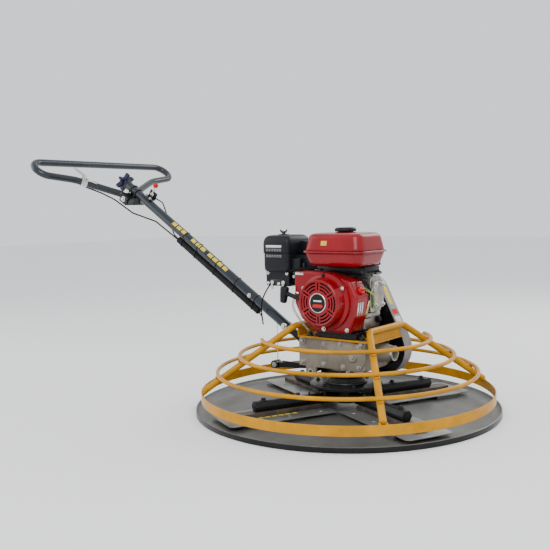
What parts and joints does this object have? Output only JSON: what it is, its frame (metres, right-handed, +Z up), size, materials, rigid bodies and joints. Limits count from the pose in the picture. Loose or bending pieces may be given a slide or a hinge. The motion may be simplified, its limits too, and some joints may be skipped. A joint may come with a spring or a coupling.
{
  "type": "power trowel",
  "caption": "Walk-behind power trowel for concrete: petrol engine on a gearbox, ring guard, float pan under pitched blades, and a long mast with a loop handle.",
  "frame": {"origin": "where the rotor axis meets the floor, in the middle of the float pan underside", "axes": "+Z up along the rotor axis, +X forward away from the operator, the mast runs back along -X, the recoil starter faces -Y"},
  "size_m": [1.693, 0.98, 0.8618],
  "materials": {
    "red_paint": "gloss",
    "guard_yellow": "gloss",
    "pan_steel": "satin",
    "blade_steel": "satin",
    "black_paint": "gloss",
    "slate_paint": "gloss",
    "cast_grey": "matte",
    "guard_grey": "satin",
    "aluminium": "satin",
    "bright_steel": "satin",
    "black_plastic": "matte",
    "navy_plastic": "gloss",
    "rubber": "matte"
  },
  "bodies": {
    "frame": {"gearbox_housing": "cast_grey", "side_plate_front": "cast_grey", "side_plate_rear": "cast_grey", "gearbox_cover": "cast_grey", "engine_plate": "guard_yellow", "guard_tube_front": "guard_yellow", "guard_tube_rear": "guard_yellow", "hoop_lower": "guard_yellow", "hoop_middle": "guard_yellow", "hoop_upper": "guard_yellow", "guard_band": "guard_yellow", "mast_foot": "black_paint", "mast_tube": "slate_paint", "handle_loop": "slate_paint", "handle_clamp": "black_paint", "clutch_lever_bracket": "black_paint", "throttle_bracket": "black_paint", "cable_conduit": "black_plastic", "clutch_cable": "black_plastic", "throttle_cable": "black_plastic", "engine_feet": "black_paint", "crankcase": "aluminium", "cylinder_head": "aluminium", "v_belt": "rubber", "belt_guard_plate": "black_paint", "belt_guard_cover": "guard_grey", "fan_shroud": "red_paint", "recoil_cover": "red_paint", "fuel_tank": "red_paint", "air_cleaner": "black_plastic", "carburettor": "black_plastic", "muffler": "black_paint"},
    "rotor": {"spider_hub": "black_paint", "output_shaft": "bright_steel", "worm_wheel": "bright_steel"},
    "pan": {"float_pan": "pan_steel"},
    "arm_1": {"arm_1": "black_paint", "blade_1": "blade_steel"},
    "arm_2": {"arm_2": "black_paint", "blade_2": "blade_steel"},
    "arm_3": {"arm_3": "black_paint", "blade_3": "blade_steel"},
    "arm_4": {"arm_4": "black_paint", "blade_4": "blade_steel"},
    "collar": {"thrust_collar": "black_paint"},
    "yoke": {"pitch_yoke": "black_paint"},
    "cable": {"pitch_cable": "bright_steel"},
    "pulley": {"cable_pulley": "bright_steel"},
    "knob": {"star_knob": "navy_plastic"},
    "worm": {"worm_shaft": "bright_steel", "driven_pulley": "cast_grey"},
    "crank": {"crankshaft": "bright_steel", "drive_clutch": "cast_grey"},
    "clutch_hand_lever": {"clutch_lever": "bright_steel"},
    "throttle": {"throttle_lever": "bright_steel"},
    "starter_grip": {"recoil_grip": "black_plastic"},
    "switch": {"engine_switch": "red_paint"},
    "tank_cap": {"fuel_cap": "black_plastic"},
    "choke": {"choke_lever": "cast_grey"},
    "fuel_tap": {"fuel_valve": "cast_grey"}
  },
  "joints": [
    {"name": "rotor_spin", "type": "hinge", "parent": "frame", "child": "rotor", "pos_m": [0, 0, 0.0448], "axis": [0, 0, -1], "continuous": true},
    {"name": "arm_1_pitch", "type": "hinge", "parent": "rotor", "child": "arm_1", "pos_m": [0, 0, 0.0448], "axis": [0.4305, 0.9026, 0], "range_deg": [0, 12]},
    {"name": "arm_2_pitch", "type": "hinge", "parent": "rotor", "child": "arm_2", "pos_m": [0, 0, 0.0448], "axis": [-0.9026, 0.4305, 0], "range_deg": [0, 12]},
    {"name": "arm_3_pitch", "type": "hinge", "parent": "rotor", "child": "arm_3", "pos_m": [0, 0, 0.0448], "axis": [-0.4305, -0.9026, 0], "range_deg": [0, 12]},
    {"name": "arm_4_pitch", "type": "hinge", "parent": "rotor", "child": "arm_4", "pos_m": [0, 0, 0.0448], "axis": [0.9026, -0.4305, 0], "range_deg": [0, 12]},
    {"name": "pan_drop", "type": "slide", "parent": "rotor", "child": "pan", "axis": [0, 0, -1], "range_m": [0, 0.0176]},
    {"name": "collar_slide", "type": "slide", "parent": "frame", "child": "collar", "axis": [0, 0, -1], "range_m": [0, 0.008]},
    {"name": "yoke_rock", "type": "hinge", "parent": "frame", "child": "yoke", "pos_m": [-0.088, 0, 0.1215], "axis": [0, 1, 0], "range_deg": [0, 5.2]},
    {"name": "cable_lift", "type": "slide", "parent": "frame", "child": "cable", "axis": [0, 0, 1], "range_m": [0, 0.019]},
    {"name": "pulley_turn", "type": "hinge", "parent": "frame", "child": "pulley", "pos_m": [-0.29201, 0, 0.28494], "axis": [0, -1, 0], "range_deg": [0, 119.4]},
    {"name": "knob_turn", "type": "hinge", "parent": "frame", "child": "knob", "pos_m": [-1.0308, 0, 0.76471], "axis": [-0.8387, 0, 0.5446], "range_deg": [0, 1046]},
    {"name": "worm_spin", "type": "hinge", "parent": "frame", "child": "worm", "pos_m": [0.077, 0, 0.19], "axis": [0, 1, 0], "continuous": true},
    {"name": "crank_spin", "type": "hinge", "parent": "frame", "child": "crank", "pos_m": [0.01, 0, 0.361], "axis": [0, 1, 0], "continuous": true},
    {"name": "clutch_squeeze", "type": "hinge", "parent": "frame", "child": "clutch_hand_lever", "pos_m": [-1.07692, -0.16898, 0.78754], "axis": [0.5596, 0.0336, 0.8281], "range_deg": [0, 22], "stiffness_Nm_per_rad": 3},
    {"name": "throttle_swing", "type": "hinge", "parent": "frame", "child": "throttle", "pos_m": [-0.89877, 0.0105, 0.71832], "axis": [0, -1, 0], "range_deg": [-35, 35]},
    {"name": "starter_pull", "type": "slide", "parent": "frame", "child": "starter_grip", "axis": [-1, 0, 0], "range_m": [0, 0.5], "stiffness_N_per_m": 15},
    {"name": "switch_turn", "type": "hinge", "parent": "frame", "child": "switch", "pos_m": [0.11408, -0.092, 0.39614], "axis": [0.8908, 0, 0.4543], "range_deg": [0, 60]},
    {"name": "cap_turn", "type": "hinge", "parent": "frame", "child": "tank_cap", "pos_m": [0.034, -0.045, 0.576], "axis": [0, 0, 1], "range_deg": [0, 90]},
    {"name": "choke_swing", "type": "hinge", "parent": "frame", "child": "choke", "pos_m": [-0.236, -0.0805, 0.408], "axis": [0, 1, 0], "range_deg": [0, 45]},
    {"name": "fuel_swing", "type": "hinge", "parent": "frame", "child": "fuel_tap", "pos_m": [-0.19, -0.0805, 0.408], "axis": [0, 1, 0], "range_deg": [0, 45]}
  ],
  "couplings": [
    {"joint": "arm_2_pitch", "follows": "arm_1_pitch", "ratio": 1},
    {"joint": "arm_3_pitch", "follows": "arm_1_pitch", "ratio": 1},
    {"joint": "arm_4_pitch", "follows": "arm_1_pitch", "ratio": 1},
    {"joint": "pan_drop", "follows": "arm_1_pitch", "m_per_rad": 0.0825},
    {"joint": "collar_slide", "follows": "arm_1_pitch", "m_per_rad": 0.0375},
    {"joint": "yoke_rock", "follows": "arm_1_pitch", "ratio": 0.42614},
    {"joint": "cable_lift", "follows": "arm_1_pitch", "m_per_rad": 0.08246},
    {"joint": "pulley_turn", "follows": "arm_1_pitch", "ratio": 9.7009},
    {"joint": "knob_turn", "follows": "arm_1_pitch", "ratio": 86.349},
    {"joint": "worm_spin", "follows": "rotor_spin", "ratio": 24},
    {"joint": "crank_spin", "follows": "rotor_spin", "ratio": 37.395}
  ]
}
